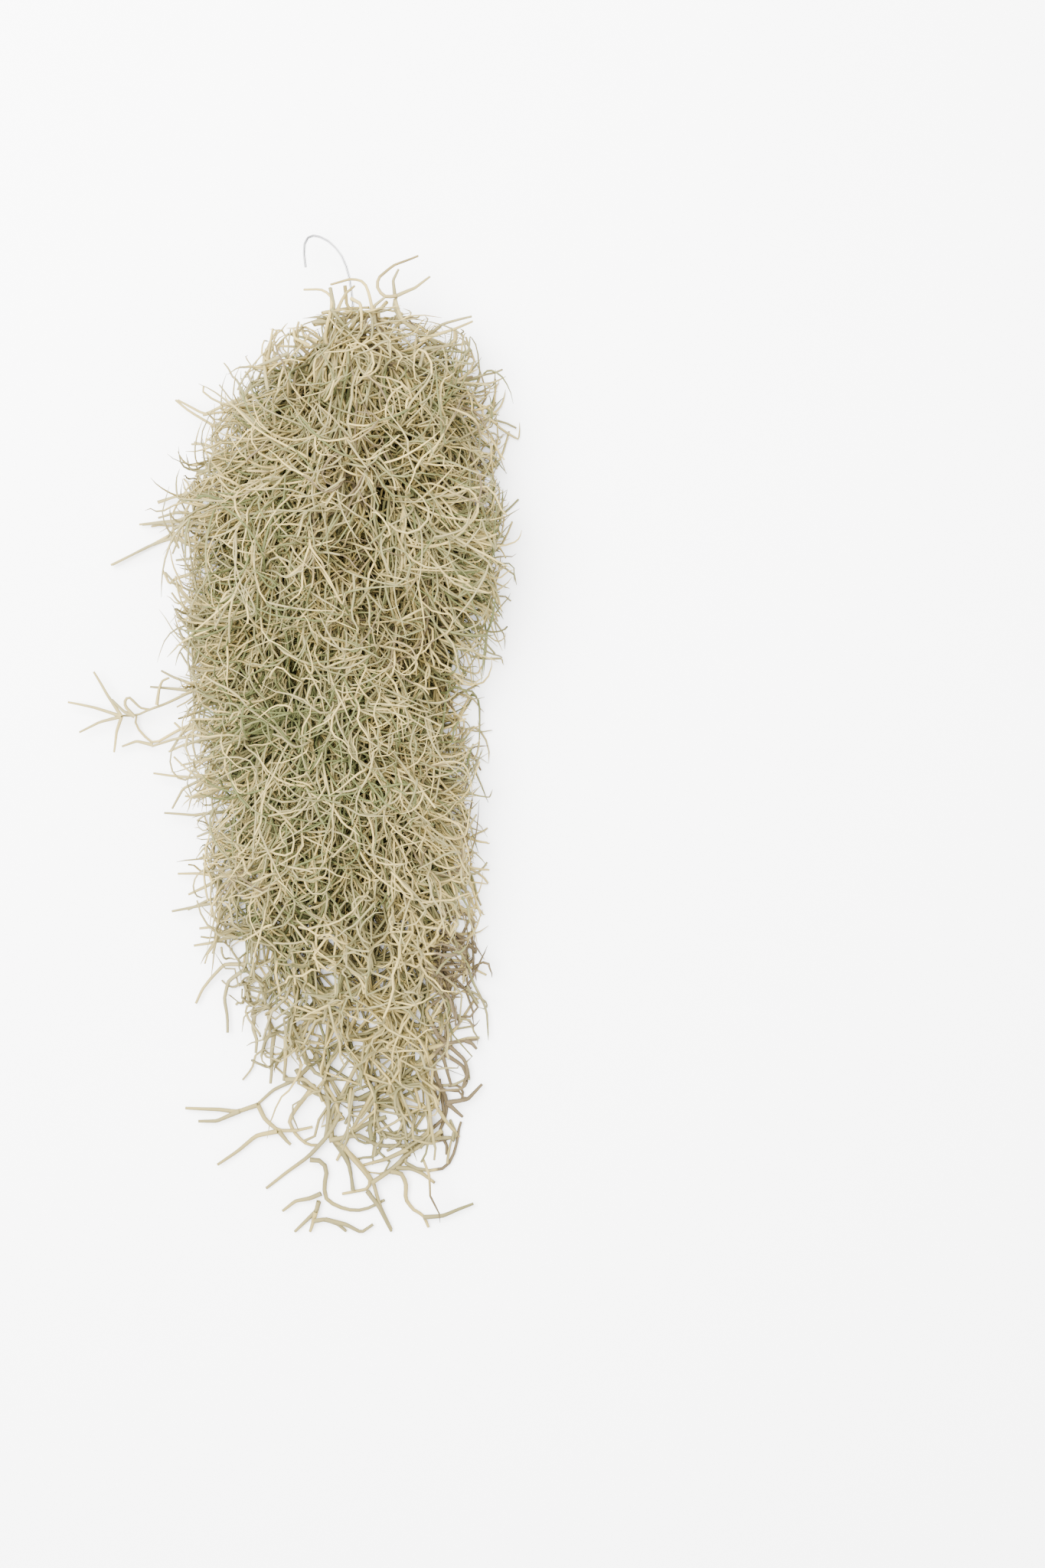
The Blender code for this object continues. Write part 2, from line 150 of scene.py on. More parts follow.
# %% Many tubes in one mesh
class Tubes:
    """Centrelines gathered for one mesh: their rings, faces and each corner's notes."""

    def __init__(self):
        self.corners, self.faces, self.tint, self.painted_shade = [], [], [], []
        self.count = 0

    def add(self, lines, radii, tint, painted_shade, sides=4):
        """lines is (tubes, points, 3), and radii, tint and painted shade are (tubes, points)."""
        tubes, points = lines.shape[:2]
        ahead = np.gradient(lines, axis=1)
        ahead /= np.linalg.norm(ahead, axis=2, keepdims=True) + 1e-12
        chord = lines[:, -1] - lines[:, 0]
        side = np.cross(chord, lines[:, points // 2] - lines[:, 0])
        weak = np.linalg.norm(side, axis=1) < 1e-9
        side[weak] = np.cross(chord[weak], (0.3, 0.2, 0.9))
        side = np.repeat(side[:, None], points, axis=1)
        side -= ahead * (side * ahead).sum(2, keepdims=True)
        side /= np.linalg.norm(side, axis=2, keepdims=True) + 1e-12
        up = np.cross(ahead, side)
        angles = 2 * math.pi * np.arange(sides) / sides
        ring = np.cos(angles)[:, None] * side[:, :, None] + np.sin(angles)[:, None] * up[:, :, None]
        corners = lines[:, :, None] + radii[:, :, None, None] * ring
        first = self.count + np.arange(tubes)[:, None, None] * points * sides
        low = first + np.arange(points - 1)[None, :, None] * sides
        here = np.arange(sides)[None, None]
        after = (here + 1) % sides
        quads = np.stack([low + here, low + after, low + after + sides, low + here + sides], -1)
        self.corners.append(corners.reshape(-1, 3))
        self.faces.append(quads.reshape(-1, 4))
        self.tint.append(np.repeat(tint.ravel(), sides))
        self.painted_shade.append(np.repeat(painted_shade.ravel(), sides))
        self.count += tubes * points * sides

    def mesh(self, name):
        """The gathered tubes as one smooth mesh with its two notes as attributes."""
        corners = np.concatenate(self.corners)
        faces = np.concatenate(self.faces)
        data = bpy.data.meshes.new(name)
        data.vertices.add(len(corners))
        data.vertices.foreach_set("co", corners.astype(np.float32).ravel())
        data.loops.add(faces.size)
        data.loops.foreach_set("vertex_index", faces.astype(np.int32).ravel())
        data.polygons.add(len(faces))
        starts = np.arange(0, faces.size, 4, dtype=np.int32)
        data.polygons.foreach_set("loop_start", starts)
        data.polygons.foreach_set("use_smooth", np.ones(len(faces), bool))
        # The second note is painted shade, which the material multiplies into the colour.
        for note, values in (("tint", self.tint), ("painted_shade", self.painted_shade)):
            made = data.attributes.new(note, "FLOAT", "POINT")
            made.data.foreach_set("value", np.concatenate(values).astype(np.float32))
        data.update(calc_edges=True)
        data.validate()
        return data


trial = Tubes()
trial.add(np.array([[(0, 0, 0), (0, 0, 1), (0, 0.1, 2)]]), *np.ones((3, 1, 3)))
print("corners on a tube of three rings:", trial.count)

# %% [markdown]
# ## Strands
# A strand hangs from the neck to somewhere near the tips. The outer ones first fold over
# the crown, which gives the bunch its rounded top. Only a few reach far down, so the
# bunch is dense above and open like a net below. Each strand sways from side to side, as
# a wiry stem does.

# %% Lane, height and tip of each strand
SEED = 7
rng = np.random.default_rng(SEED)
STRANDS_EACH = 20
SHORTEST_END = 0.44
TIP_CROWDING = 1.25
FOLDED_ABOVE = 0.6
FOLDED_OUTSIDE = 0.62

strand_tress = np.repeat(np.arange(len(TRESSES)), STRANDS_EACH)
strand_count = len(strand_tress)
lane, share, end = TRESS_PLACES[strand_tress].T
across = np.clip(lane + rng.uniform(-0.24, 0.24, strand_count), -1, 1)
height = np.clip(share + rng.uniform(-0.2, 0.2, strand_count), 0, 1)
rank = np.tile(np.arange(STRANDS_EACH), len(TRESSES)) + rng.uniform(0, 1, strand_count)
tips = end + (SHORTEST_END - end) * (rank / STRANDS_EACH) ** TIP_CROWDING
folded = (height > FOLDED_ABOVE) | (np.abs(across) > FOLDED_OUTSIDE)
print("strands:", strand_count, "folded over the crown:", folded.sum())

# %% [markdown]
# A line here is a row of points, and many lines with as many points each are one array.
# A few small helpers turn, smooth and measure them all at once, and one gives them the
# sway of a wiry stem.

# %% Helpers for lines
SWAY_SHARES = (1, 0.5, 0.8)


def unit(vectors):
    """Vectors with a length of one."""
    return vectors / (np.linalg.norm(vectors, axis=-1, keepdims=True) + 1e-12)


def smooth(lines, passes):
    """Lines with their corners averaged away, both ends kept."""
    lines = lines.copy()
    for _ in range(passes):
        lines[:, 1:-1] = (lines[:, :-2] + 2 * lines[:, 1:-1] + lines[:, 2:]) / 4
    return lines


def travelled(lines):
    """Distance from the first point to each point, for every line."""
    steps = np.linalg.norm(np.diff(lines, axis=1), axis=2)
    return np.concatenate([np.zeros((len(lines), 1)), np.cumsum(steps, axis=1)], 1)


def swaying(lines, size, wavelength):
    """Lines with a sideways wave of about that size and wavelength, in metres."""
    far = travelled(lines)[..., None]
    count = len(lines)
    long = rng.uniform(0.8, 1.3, (count, 1, 3)) * wavelength
    wave = np.sin(2 * math.pi * far / long + rng.uniform(0, 6.28, (count, 1, 3)))
    wave -= wave[:, :1]
    return lines + size[..., None] * wave * rng.uniform(0.5, 1.2, (count, 1, 3)) * SWAY_SHARES


def lumps(x, reading):
    """Soft hills and hollows over the mound, between -1 and 1."""
    broad = np.sin(52 * x + 14 * reading + 1.1) * np.sin(44 * reading - 9 * x + 0.5)
    return 0.6 * broad + 0.4 * np.sin(83 * x - 31 * reading + 2.0) * np.sin(71 * reading + 0.9)


print("a step of 3 by 4 measures", travelled(np.array([[(0, 0, 0), (3, 4, 0)]]))[0, -1])

# %% [markdown]
# A strand has two parts. Its head climbs through the narrow neck, in a slot of its own, and
# then it eases over into its lane and follows that to its tip.

# %% Centrelines of the strands
STRAND_POINTS = 64
HEAD_POINTS = 9
NECK_RADIUS = 0.009
HEAD_SPREAD = 0.012
CROWN_START = 0.692
PLAIN_START = 0.60
LOWEST_STRAND = 0.004


def heads(rise):
    """Each strand's way through the neck and up over it."""
    climb = np.linspace(0, 1, HEAD_POINTS)[None]
    slot = np.stack([NECK_RADIUS * across, NECK_RADIUS * (height - 0.5)], -1)
    return np.stack([
        slot[:, :1] + HEAD_SPREAD * across[:, None] * climb ** 2,
        NECK[1] - 0.010 + (rise + HEAD_SPREAD) * climb,
        NECK[2] + slot[:, 1:] + HEAD_SPREAD * (height[:, None] - 0.4) * climb ** 2,
    ], -1)


def lanes(reading):
    """Each strand's way down its lane, at some readings."""
    left, right, top = mound_at(reading)
    dome = np.sqrt(np.maximum(0.05, 1 - (0.93 * across[:, None]) ** 2))
    inset = np.interp(reading, (0.08, 0.24, 0.42), (0.002, 0.012, 0.024))
    x = (left + right) / 2 + across[:, None] * ((right - left) / 2 - inset)
    z = height[:, None] * top * dome * (0.85 + 0.20 * lumps(x, reading))
    return np.stack([x, reading - MIDDLE_READING, np.maximum(LOWEST_STRAND, z)], -1)


def strand_lines():
    """The centreline of every strand: its head through the neck, then its lane."""
    rise = np.where(folded, rng.uniform(0.016, 0.046, strand_count), 0.0)[:, None]
    start = np.where(folded, CROWN_START - 0.040 * across ** 2, PLAIN_START)[:, None]
    start = start + rng.normal(0, 0.006, (strand_count, 1))
    reading = start + (tips[:, None] - start) * np.linspace(0, 1, STRAND_POINTS)[None]
    head = heads(rise)
    spread = rng.uniform(0.015, 0.10, (strand_count, 1))
    settle = np.clip((start - reading) / spread, 0, 1)[..., None] ** 0.8
    lines = head[:, -1:] * (1 - settle) + lanes(reading) * settle
    return smooth(np.concatenate([head, lines], 1), 5)


strands = strand_lines()
print("points on each strand:", strands.shape[1])

# %% [markdown]
# The lanes are too even so far. Two waves, a wide and a fine one, make the strands wander,
# more so near the tips, where nothing holds them in place. The heads stay calm.

# %% Let the strands sway
WIDE_SWAY, WIDE_WAVE = 0.0052, 0.085
FINE_SWAY, FINE_WAVE = 0.0022, 0.040
CALM_POINTS = 14
STRAND_FLOOR = 0.002

sway = np.interp(reading_of(strands), (0.12, 0.36), (2.1, 1.0))
calm = np.clip(np.arange(strands.shape[1]) / CALM_POINTS - 0.5, 0, 1)[None]
strands = swaying(strands, WIDE_SWAY * sway * calm, WIDE_WAVE)
strands = swaying(strands, FINE_SWAY * sway * calm, FINE_WAVE)
strands[..., 2] = np.maximum(strands[..., 2], STRAND_FLOOR)
print("lowest strand point:", strands[..., 2].min())

# %% [markdown]
# ## Leaves and side stems
# At every joint a stem bears a few leaves, threads 3 to 9 cm long that leave at an angle
# and curl. Most bend in a plain arc or a shallow S, and a few make a full loop. A curl's
# line is worked out from an arc with a small second bend, so thousands are made in one
# go. Side stems are made the same way, and bear leaves of their own.

# %% Curls that start from points along lines
def curled(root, heading, axis, turn, length, ripple, points):
    """Arcs from root along heading that turn about axis, with a ripple out of plane."""
    share = np.linspace(0, 1, points)[None, :, None]
    turn = np.where(np.abs(turn) < 0.05, 0.05, turn)[:, None, None]
    reach = length[:, None, None] / turn
    inward = np.cross(axis, heading)[:, None]
    line = reach * (np.sin(turn * share) * heading[:, None] + (1 - np.cos(turn * share)) * inward)
    bend = ripple[:, None, None] * share * np.sin(2.6 * math.pi * share) * axis[:, None]
    return root[:, None] + line + bend * length[:, None, None]


ahead_and_up = np.array([(1.0, 0, 0)]), np.array([(0, 0, 1.0)])
half_turn = curled(np.zeros((1, 3)), *ahead_and_up, np.array([math.pi]), np.ones(1), np.zeros(1), 9)
print("a half turn that is 1 m long ends at", half_turn[0, -1].round(3))

# %% [markdown]
# Joints come at even spaces along a stem, give or take a little. Neighbours lean the same
# way, as they grow towards the same light, and those near the side lean outward.

# %% Places where something grows
JOINT_STEP = 0.003
JOINT_SCATTER = 0.15


def points_at(places, distance, line):
    """Points of one line at some distances along it."""
    return np.column_stack([np.interp(places, distance, line[:, k]) for k in range(3)])


def joints_on(lines, owners, spacing, bare, bear):
    """Places along lines where something grows: root, direction and owner of each."""
    roots, headings, whose = [], [], []
    for line, distance, owner in zip(lines, travelled(lines), owners):
        total = distance[-1]
        places = np.arange(bare + spacing * rng.uniform(0, 1), total, spacing)
        places = places + rng.normal(0, JOINT_SCATTER * spacing, len(places))
        places = np.repeat(places, rng.choice(len(bear), len(places), p=bear))
        if not len(places):
            continue
        places = np.clip(places, JOINT_STEP, total - 0.0005)
        ahead = points_at(places + JOINT_STEP, distance, line)
        behind = points_at(places - JOINT_STEP, distance, line)
        roots.append(points_at(places, distance, line))
        headings.append(unit(ahead - behind))
        whose.append(np.full(len(places), owner))
    return np.concatenate(roots), np.concatenate(headings), np.concatenate(whose)


def drift(root):
    """A direction that changes slowly from place to place, so that neighbours agree."""
    turns = np.array([(61, 22, 15), (-27, 48, 30), (18, -39, 66)])
    broad = np.sin(root @ turns.T + (0.4, 2.1, 4.4))
    fine = np.sin(root @ turns * 1.7 + (3.3, 0.2, 1.9))
    return broad + 0.6 * fine


def outward_from_mound(root):
    """Direction away from the middle of the mound, and how far out the root is."""
    left, right, top = mound_at(reading_of(root))
    side = (root[:, 0] - (left + right) / 2) / ((right - left) / 2)
    lift = (root[:, 2] - 0.4 * top) / top
    return np.column_stack([side, 0 * side, lift]), np.clip(np.abs(side), 0, 1)


print("lean at the neck:", drift(NECK[None])[0].round(2))

# %% Growth from those places
LOW_THINNING = ((0.10, 0.38), (0.50, 1.0))
LOW_SPREADING = ((0.12, 0.32), (1.0, 0.0))
WIDER_FORK = 22
MEAN_TURN = 0.5
LOOP_SHARE = 0.07
LOOP_TURNS = (3.2, 5.6)
RIPPLE = 0.06


def grown(lines, owners, spacing, bare, bear, fork, lengths, turn, points):
    """Curls that grow from joints along lines, and the tress of each."""
    root, heading, whose = joints_on(lines, owners, spacing, bare, bear)
    kept = rng.random(len(root)) < np.interp(reading_of(root), *LOW_THINNING)
    root, heading, whose = root[kept], heading[kept], whose[kept]
    count = len(root)
    outward, edge = outward_from_mound(root)
    away = 0.6 * rng.normal(size=(count, 3)) + 1.1 * drift(root)
    away = away + (0.25 + 0.35 * edge[:, None]) * outward
    away = unit(away - heading * (away * heading).sum(1, keepdims=True))
    low = np.interp(reading_of(root), *LOW_SPREADING)
    angle = np.radians(np.clip(rng.normal(*fork, count) + WIDER_FORK * low, 8, 140))[:, None]
    start = np.cos(angle) * heading + np.sin(angle) * away
    axis = unit(np.cross(start, 0.7 * rng.normal(size=(count, 3)) + drift(root + 0.06)))
    bend = rng.normal(MEAN_TURN, turn, count) * (1 + 0.7 * low)
    looped = rng.random(count) < LOOP_SHARE
    bend[looped] = rng.choice([-1, 1], looped.sum()) * rng.uniform(*LOOP_TURNS, looped.sum())
    length = rng.uniform(*lengths, count) * (1 - 0.1 * low)
    ripple = rng.normal(0, RIPPLE, count)
    return curled(root, start, axis, bend, length, ripple, points), whose


print("share of growth kept at the tips:", LOW_THINNING[1][0])

# %% [markdown]
# Nothing may go through the surface that the bunch lies on, and only tips stand far out
# of the mound. What would is bent back.

# %% Keep growth over the surface and near the mound
FLOOR_CLEAR = 0.0016
FLOOR_SOFT = 0.005
FREE_SHARE, FREE_PULL, SIDE_PULL = 0.2, 0.3, 0.65
EDGE_REACH = 0.006
RIGHT_REACH, RIGHT_PULL = 0.026, 0.85
LEFT_REACH, LEFT_PULL = 0.040, 0.70
TOP_REACH, TOP_PULL = 0.004, 0.65
CROWN_READING, CROWN_X, CROWN_FALL, CROWN_PULL = 0.704, 0.015, 3.0, 0.85


def settled(lines):
    """Lines lifted off the floor and drawn in where they reach far out."""
    lines = lines.copy()
    left, right, top = mound_at(reading_of(lines))
    pull = np.where(rng.random((len(lines), 1)) < FREE_SHARE, FREE_PULL, SIDE_PULL)
    lines[..., 0] -= pull * np.maximum(0, lines[..., 0] - right - EDGE_REACH)
    lines[..., 0] += pull * np.maximum(0, left - EDGE_REACH - lines[..., 0])
    lines[..., 0] -= RIGHT_PULL * np.maximum(0, lines[..., 0] - right - RIGHT_REACH)
    lines[..., 0] += LEFT_PULL * np.maximum(0, left - LEFT_REACH - lines[..., 0])
    lines[..., 2] -= TOP_PULL * np.maximum(0, lines[..., 2] - top - TOP_REACH)
    crown = CROWN_READING - CROWN_FALL * (lines[..., 0] - CROWN_X) ** 2
    lines[..., 1] -= CROWN_PULL * np.maximum(0, reading_of(lines) - crown)
    soft = FLOOR_CLEAR + FLOOR_SOFT
    sunk = FLOOR_CLEAR + FLOOR_SOFT * np.exp(np.minimum(0, lines[..., 2] - soft) / 0.012)
    lines[..., 2] = np.where(lines[..., 2] < soft, sunk, lines[..., 2])
    return lines


print("centrelines stay", FLOOR_CLEAR, "m over the surface")

# %% [markdown]
# Where few strands reach, the bunch opens to a net with holes up to two fingers wide, and
# stems and leaves run round them. So cells are set out over the lower part, and lines are
# bent to pass beside them. The widest holes stand where the photo has them.

# %% Holes of the net
HOLE_SPACING = 0.0195
HOLES_BELOW = 0.37
hole_rows = np.arange(0.085, 0.36, HOLE_SPACING)
hole_columns = np.arange(-0.10, 0.085, HOLE_SPACING)
cells = np.array([(x, reading) for reading in hole_rows for x in hole_columns])
cells = cells + rng.uniform(-0.006, 0.006, cells.shape)
cell_radii = np.interp(cells[:, 1], (0.10, 0.22, 0.36), (0.0105, 0.0090, 0.0030))
cell_radii = cell_radii * rng.uniform(0.6, 1.2, len(cells))
WIDE_HOLES = [
    # across, reading, radius
    (-0.029, 0.202, 0.0145), (-0.021, 0.229, 0.0110), (-0.030, 0.158, 0.0117),
    (-0.015, 0.125, 0.0124), (-0.009, 0.171, 0.0089), (0.015, 0.205, 0.0089),
    (-0.045, 0.096, 0.0117), (0.021, 0.081, 0.0110), (0.047, 0.083, 0.0103),
    (-0.060, 0.207, 0.0089), (0.068, 0.121, 0.0117), (0.015, 0.244, 0.0082),
    (0.051, 0.198, 0.0082),
]
HOLES = WIDE_HOLES + [(x, reading, size) for (x, reading), size in zip(cells, cell_radii)]


def beside_holes(lines):
    """Lines bent round the holes, as seen from above."""
    lines = lines.copy()
    flat = lines.reshape(-1, 3)
    low = np.flatnonzero(reading_of(flat) < HOLES_BELOW)
    spots = flat[low, :2]
    for x, reading, size in HOLES:
        offset = spots - (x, reading - MIDDLE_READING)
        far = np.linalg.norm(offset, axis=1) + 1e-9
        spots += offset * (((far ** 5 + size ** 5) ** 0.2 / far) - 1)[:, None]
    flat[low, :2] = spots
    return lines


strands = beside_holes(strands)
print("holes:", len(HOLES))

# %% [markdown]
# Side stems and the two sorts of leaves differ only in their numbers. Spacing and the bare
# start are metres along the stem. The chances are those of none, one, two or three at a
# joint. The fork is a mean angle and its spread in degrees, and turn says how much a curl
# may bend, in radians.

# %% Grow side stems, then leaves on both
SIDE_STEMS = {
    "spacing": 0.070, "bare": 0.06, "bear": (0.30, 0.52, 0.18), "fork": (55, 22),
    "lengths": (0.045, 0.100), "turn": 1.2, "points": 9,
}
STRAND_LEAVES = {
    "spacing": 0.033, "bare": 0.035, "bear": (0.10, 0.34, 0.40, 0.16), "fork": (50, 25),
    "lengths": (0.038, 0.092), "turn": 1.7, "points": 8,
}
SIDE_STEM_LEAVES = {
    "spacing": 0.027, "bare": 0.012, "bear": (0.10, 0.55, 0.35), "fork": (44, 20),
    "lengths": (0.030, 0.074), "turn": 1.6, "points": 8,
}
branches, branch_tress = grown(strands, strand_tress, **SIDE_STEMS)
branches = beside_holes(settled(branches))
strand_leaves, strand_leaf_tress = grown(strands, strand_tress, **STRAND_LEAVES)
branch_leaves, branch_leaf_tress = grown(branches, branch_tress, **SIDE_STEM_LEAVES)
leaves = beside_holes(settled(np.concatenate([strand_leaves, branch_leaves])))
leaf_tress = np.concatenate([strand_leaf_tress, branch_leaf_tress])
print("side stems:", len(branches), "leaves:", len(leaves))

# %% [markdown]
# The lower part would still be too closed, so three leaves in ten are left out there.

# %% Thin out the leaves of the net
NET_THINNING = ((0.06, 0.12, 0.30, 0.38), (1, 0.70, 0.70, 1))
kept = rng.random(len(leaves)) < np.interp(reading_of(leaves[:, 0]), *NET_THINNING)
leaves, leaf_tress = leaves[kept], leaf_tress[kept]
print("leaves kept:", len(leaves))

# %% [markdown]
# ## Sprigs that stand out
# Where the bunch is thin, single sprigs draw its outline: a long one that reaches out to
# the left, forks round the hook, and the open net of the lowest tips. They could be grown
# by rule too, but each of their lines was read off the photo as a few points, which the
# camera above turned into millimetres: across, and from the lowest tips.

# %% Lines of the left side
SPRIGS = {
    # name: (tress it belongs to, height over the surface in metres, lines in millimetres)
    "left_reach": ("middle_tress_1", 0.020, (
        ((-96, 430), (-114, 424), (-122, 423), (-143, 413), (-155, 409), (-165, 404), (-175, 404)),
        ((-175, 404), (-187, 420), (-197, 437)), ((-175, 404), (-197, 410), (-217, 414)),
        ((-175, 404), (-193, 399), (-209, 391)), ((-175, 404), (-180, 392), (-183, 376)),
        ((-165, 404), (-172, 412), (-172, 417), (-169, 419), (-161, 410), (-155, 409)),
        ((-165, 404), (-173, 408), (-182, 417)), ((-148, 413), (-146, 426), (-144, 431), (-139, 433)),
        ((-125, 423), (-133, 424), (-154, 426)), ((-112, 424), (-137, 433), (-146, 438)))),
    "left_return": ("under_tress_1", 0.012, (
        ((-100, 398), (-114, 401), (-134, 392), (-153, 381), (-159, 386), (-167, 396), (-165, 404)),
        ((-118, 398), (-130, 390), (-139, 377)), ((-153, 381), (-165, 384), (-176, 380)))),
    "left_spikes": ("under_tress_1", 0.012, (
        ((-100, 528), (-113, 531), (-132, 541), (-153, 530), (-182, 516)),
        ((-113, 555), (-130, 549), (-143, 548), (-160, 546)), ((-122, 555), (-132, 555), (-145, 551)),
        ((-113, 571), (-127, 568), (-146, 563)), ((-120, 510), (-133, 506), (-137, 502), (-142, 512)))),
    "left_shoulder": ("middle_tress_1", 0.034, (
        ((-66, 615), (-83, 625), (-99, 619), (-110, 626), (-120, 632), (-130, 640)),
        ((-66, 634), (-83, 633), (-101, 631), (-110, 629)),
        ((-76, 590), (-95, 601), (-108, 608), (-119, 608)),
        ((-60, 625), (-78, 640), (-77, 648), (-69, 655), (-65, 667)))),
}
print("sprigs at the left:", len(SPRIGS))

# %% Lines of the crown
SPRIGS |= {
    "crown_left": ("front_tress_1", 0.058, (
        ((-6, 690), (-17, 690), (-30, 682), (-52, 682)), ((-30, 682), (-40, 687), (-41, 694)),
        ((-24, 685), (-36, 691), (-38, 699)), ((-60, 650), (-64, 674), (-60, 687), (-56, 695)),
        ((-40, 668), (-48, 673), (-63, 667), (-73, 667)))),
    "crown_loops": ("front_tress_2", 0.060, (
        ((-17, 680), (-19, 690), (-13, 708), (-13, 718), (-21, 723), (-35, 724)),
        ((-22, 707), (-15, 709), (-4, 711), (13, 711)), ((-26, 697), (-15, 700), (-2, 704), (13, 705)),
        ((-13, 708), (-6, 699), (1, 691)), ((-10, 705), (-7, 714), (-4, 721), (2, 727)),
        ((1, 716), (8, 712), (9, 702), (8, 690)))),
    "crown_fork": ("front_tress_4", 0.056, (
        ((16, 690), (17, 703), (16, 712), (13, 723), (10, 728), (0, 731), (-16, 728)),
        ((17, 703), (18, 710), (26, 716)), ((62, 684), (45, 696), (37, 699), (31, 712), (34, 717)),
        ((35, 717), (26, 716), (20, 722), (20, 731), (31, 742), (49, 749)),
        ((35, 717), (48, 723), (58, 732)), ((33, 717), (32, 728), (36, 736)))),
    "crown_right": ("front_tress_5", 0.050, (
        ((44, 683), (54, 688), (67, 697), (89, 702)), ((76, 695), (76, 685), (63, 678)))),
}
print("with those of the crown:", len(SPRIGS))

# %% Lines of the lowest tips
SPRIGS |= {
    "low_left": ("under_tress_2", 0.009, (
        ((-36, 135), (-48, 122), (-66, 113), (-78, 102)), ((-78, 102), (-94, 96), (-108, 98), (-134, 99)),
        ((-92, 97), (-110, 89), (-124, 89)), ((-78, 102), (-73, 90), (-63, 81), (-49, 81), (-36, 84)),
        ((-63, 81), (-80, 77), (-94, 65), (-110, 54)), ((-62, 81), (-56, 73), (-53, 70)),
        ((-34, 118), (-42, 107), (-49, 98), (-55, 88), (-49, 77), (-40, 69), (-32, 69)),
        ((-14, 96), (-23, 79), (-39, 61), (-53, 50), (-73, 34)))),
    "low_middle": ("under_tress_3", 0.007, (
        ((-38, 59), (-28, 58), (-25, 48), (-28, 37), (-27, 25), (-16, 19), (-4, 16), (6, 18), (19, 25)),
        ((-30, 31), (-39, 27), (-50, 25), (-60, 17)), ((-32, 25), (-34, 17), (-39, 12), (-51, 0)),
        ((-34, 17), (-37, 6), (-39, 0)), ((-36, 10), (-27, 11), (-17, 6), (-11, 0)),
        ((-27, 11), (-11, 7), (1, 0), (10, 6)), ((-21, 88), (-21, 75), (-13, 62), (-7, 50), (-6, 33)),
        ((-12, 70), (-6, 61), (3, 50), (9, 41), (6, 34), (-14, 30)), ((6, 34), (15, 21), (24, 0)),
        ((21, 93), (7, 88), (-9, 77), (-21, 73)),
        ((-21, 75), (-23, 93), (-14, 109), (7, 104), (28, 105), (45, 113), (58, 120)))),
    "low_right": ("under_tress_4", 0.008, (
        ((64, 82), (49, 71), (38, 64), (24, 50), (12, 41)),
        ((24, 50), (33, 48), (36, 39), (35, 26), (41, 17), (49, 13), (53, 3)),
        ((49, 13), (64, 14), (76, 19), (88, 23)), ((28, 52), (40, 51), (48, 47), (58, 39)),
        ((38, 68), (21, 59), (3, 53)), ((27, 112), (27, 101), (34, 86), (36, 70), (38, 64)),
        ((35, 79), (49, 75), (64, 76), (76, 75), (70, 89)))),
    "right_dark": ("under_tress_5", 0.010, (
        ((50, 150), (56, 134), (61, 121), (68, 105), (66, 89), (61, 80), (68, 68), (67, 61)),
        ((68, 105), (84, 107), (95, 118)), ((68, 105), (73, 100), (80, 93)),
        ((54, 148), (72, 151), (84, 154), (93, 154)), ((82, 154), (91, 147)),
        ((60, 158), (70, 148), (82, 137), (84, 127), (80, 116)),
        ((48, 164), (56, 154), (65, 141), (71, 117)))),
}
print("with those of the lowest tips:", len(SPRIGS))

# %% Lines of the open net
SPRIGS |= {
    "net_left": ("under_tress_1", 0.014, (
        ((-94, 282), (-107, 281), (-121, 283), (-136, 283)), ((-107, 277), (-117, 272), (-128, 267)),
        ((-94, 252), (-110, 260), (-125, 257), (-141, 254)), ((-94, 263), (-112, 263), (-129, 255)),
        ((-91, 233), (-100, 237), (-111, 242), (-120, 241)), ((-94, 235), (-111, 229), (-125, 227)),
        ((-84, 214), (-102, 213), (-113, 201), (-120, 192), (-125, 181)),
        ((-84, 211), (-99, 200), (-103, 185), (-101, 171), (-101, 158)),
        ((-79, 177), (-81, 162), (-78, 153), (-79, 143)), ((-64, 162), (-67, 143), (-67, 130), (-68, 119)),
        ((-55, 158), (-56, 136), (-58, 121)), ((-59, 177), (-44, 171), (-15, 166), (0, 151), (14, 162)),
        ((-44, 166), (-41, 143), (-34, 128), (-19, 121), (-8, 136)), ((-56, 124), (-41, 124), (-30, 113)))),
    "net_middle": ("under_tress_3", 0.010, (
        ((-33, 143), (-26, 121), (-23, 98), (-26, 75), (-40, 60)),
        ((-48, 130), (-39, 113), (-23, 106), (-1, 106), (21, 111), (44, 124)),
        ((14, 162), (0, 136), (-15, 106), (-23, 75)), ((-19, 77), (-9, 56), (-5, 33)),
        ((-19, 75), (-1, 56), (10, 41), (15, 22), (24, 1)),
        ((29, 136), (29, 106), (36, 90), (32, 71), (21, 64)),
        ((33, 124), (14, 117), (-1, 90), (-12, 68), (-18, 56)),
        ((-23, 75), (-1, 79), (14, 68), (43, 68), (73, 75)))),
    "net_right": ("under_tress_5", 0.010, (
        ((-1, 106), (29, 121), (51, 140), (73, 158), (90, 185)),
        ((10, 75), (7, 90), (21, 102), (51, 92), (64, 106), (57, 136)),
        ((10, 41), (28, 52), (47, 75), (66, 90), (62, 121)), ((47, 136), (51, 117), (66, 90), (77, 75)),
        ((58, 147), (69, 140), (80, 132), (84, 121)), ((51, 136), (66, 151), (92, 153)),
        ((62, 155), (51, 177), (66, 188), (73, 207)))),
}
print("with those of the net:", len(SPRIGS))

